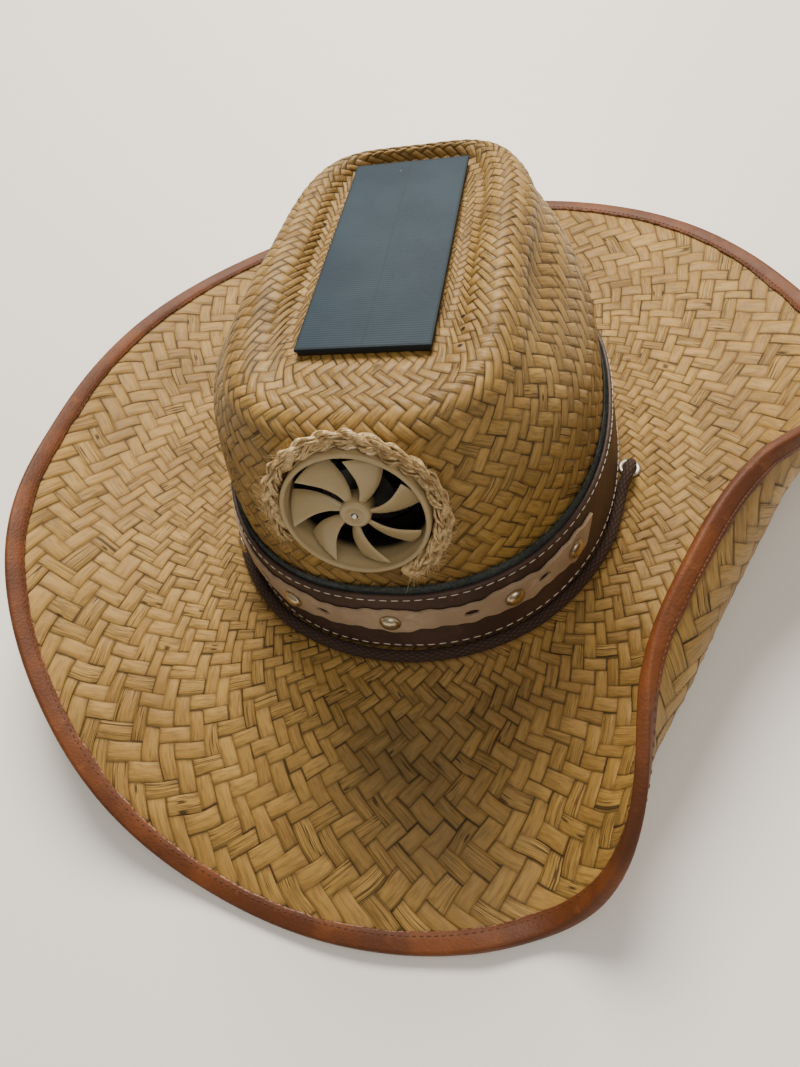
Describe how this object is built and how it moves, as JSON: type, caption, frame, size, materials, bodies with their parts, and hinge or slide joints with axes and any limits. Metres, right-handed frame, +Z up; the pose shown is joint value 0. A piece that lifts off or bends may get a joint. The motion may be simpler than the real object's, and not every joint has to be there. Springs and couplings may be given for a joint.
{
  "type": "solar fan cowboy hat",
  "caption": "Woven straw cowboy hat with a small ducted fan in the crown's front wall, a solar panel on its top, a leather band and a chin cord.",
  "frame": {"origin": "middle of the hat's outline, on the floor that the hat rests on by itself, crown up", "axes": "+Z up, -Y the front, where the fan looks, +X the wearer's left"},
  "size_m": [0.3901, 0.4367, 0.1409],
  "materials": {
    "straw": "woven palm straw, golden tan, satin",
    "binding_leather": "reddish-brown leather, worn",
    "band_leather": "dark brown leather, satin",
    "backing_cloth": "dark charcoal-teal cloth",
    "strap_leather": "taupe leather, dry",
    "stud_metal": "aged nickel-brass",
    "eyelet_metal": "dull nickel",
    "panel_sheet": "slate-blue satin cell sheet",
    "panel_board": "dark board",
    "fan_plastic": "olive-khaki moulded plastic",
    "motor_metal": "plain steel",
    "rope_straw": "braided straw, frayed",
    "cord_cloth": "dark brown braided cord"
  },
  "bodies": {
    "hat": {"straw_body": "straw", "brim_binding": "binding_leather", "hat_band": "band_leather", "band_backing": "backing_cloth", "band_strap": "strap_leather", "stud_1": "stud_metal", "stud_2": "stud_metal", "stud_3": "stud_metal", "stud_4": "stud_metal", "stud_5": "stud_metal", "eyelet_right": "eyelet_metal", "eyelet_left": "eyelet_metal", "solar_panel": "panel_sheet", "panel_board": "panel_board", "fan_housing": "fan_plastic", "motor": "motor_metal", "fan_braid": "rope_straw", "chin_cord_over": "cord_cloth", "chin_cord_under": "cord_cloth"},
    "rotor": {"fan_rotor": "fan_plastic", "motor_shaft": "motor_metal"}
  },
  "joints": [
    {"name": "fan_spin", "type": "hinge", "parent": "hat", "child": "rotor", "pos_m": [-0.00246, -0.0901, 0.10854], "axis": [-0.0058, -0.9568, 0.2906], "continuous": true}
  ]
}
